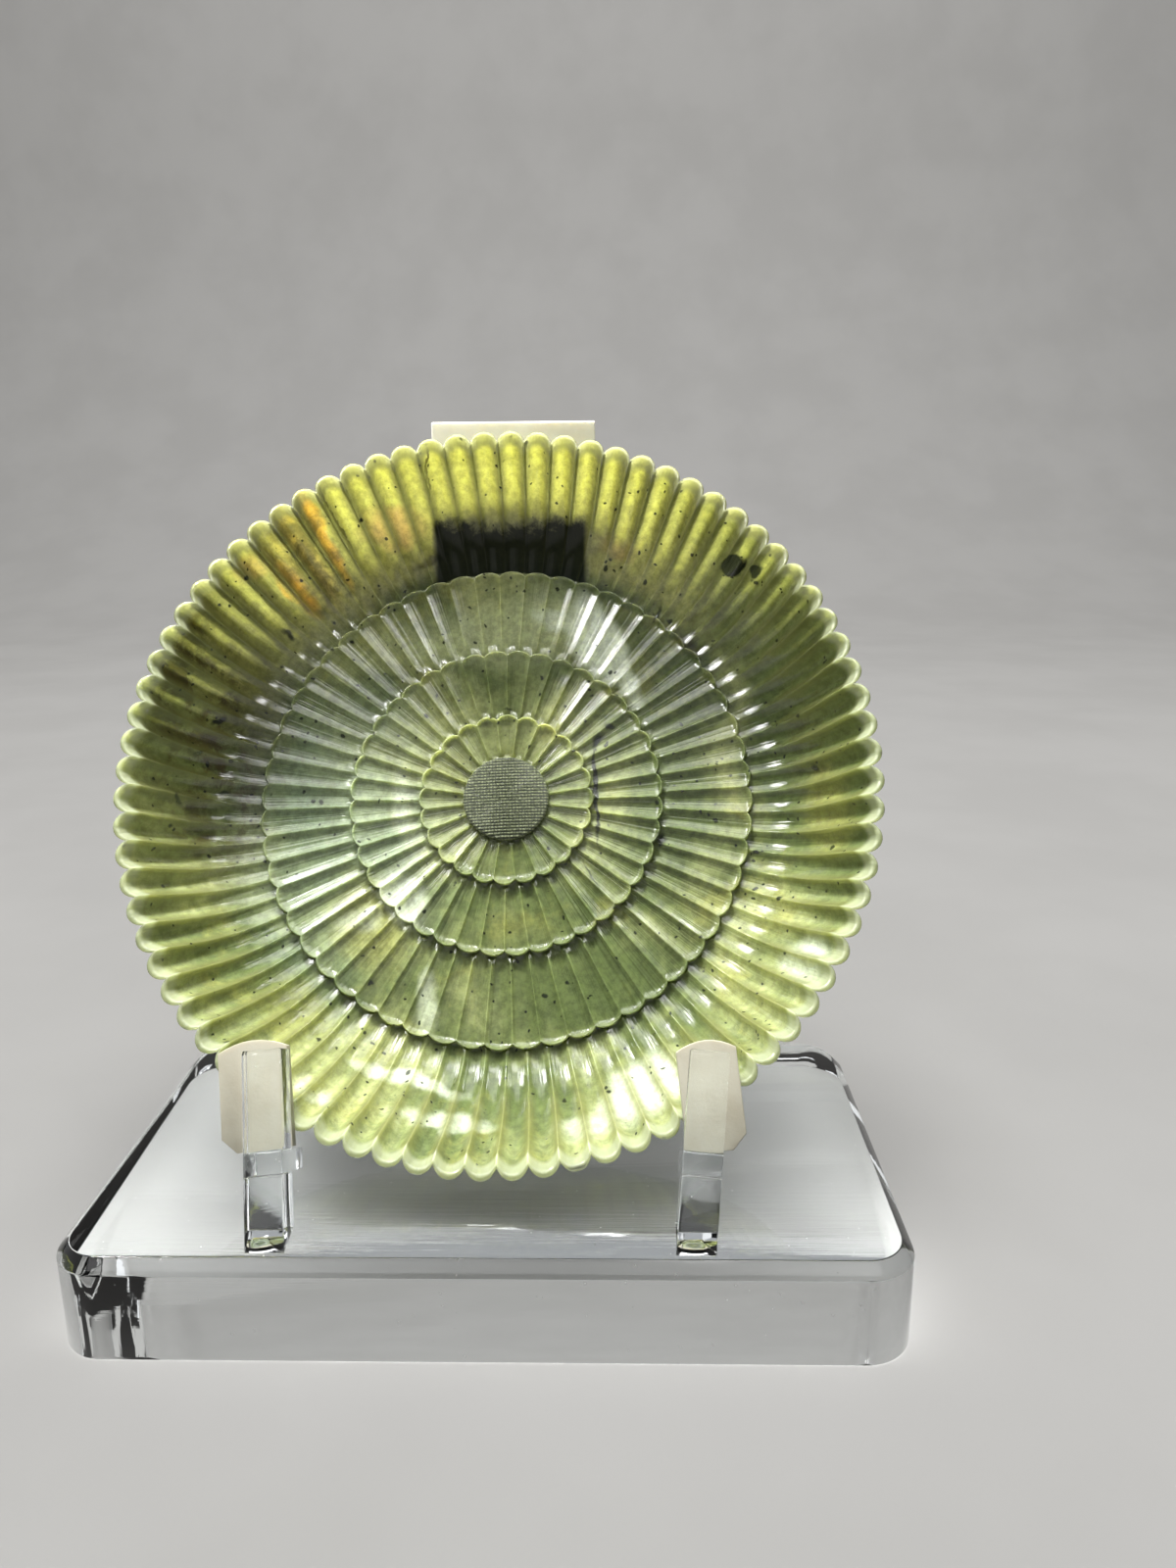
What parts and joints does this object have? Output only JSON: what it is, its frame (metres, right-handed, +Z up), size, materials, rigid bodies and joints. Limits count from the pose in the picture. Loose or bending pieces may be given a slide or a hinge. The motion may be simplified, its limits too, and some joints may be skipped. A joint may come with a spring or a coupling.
{
  "type": "carved jade chrysanthemum dish on a clear stand",
  "caption": "Shallow moss-green jade dish carved with rings of chrysanthemum petals, leaning back on a clear stand with white pads.",
  "frame": {"origin": "centre of the base plate's underside, on the table", "axes": "+Z up from the underside, +X to the right and +Y away from someone who faces the hollow of the dish"},
  "size_m": [0.2, 0.1532, 0.2104],
  "materials": {
    "jade": "polished",
    "acrylic": "clear and polished",
    "pad_white": "matte"
  },
  "bodies": {
    "root": {"dish": "jade", "base_plate": "acrylic", "prong_left": "acrylic", "prong_right": "acrylic", "back_post": "acrylic", "pad_left": "pad_white", "pad_right": "pad_white", "pad_back": "pad_white"}
  },
  "joints": []
}
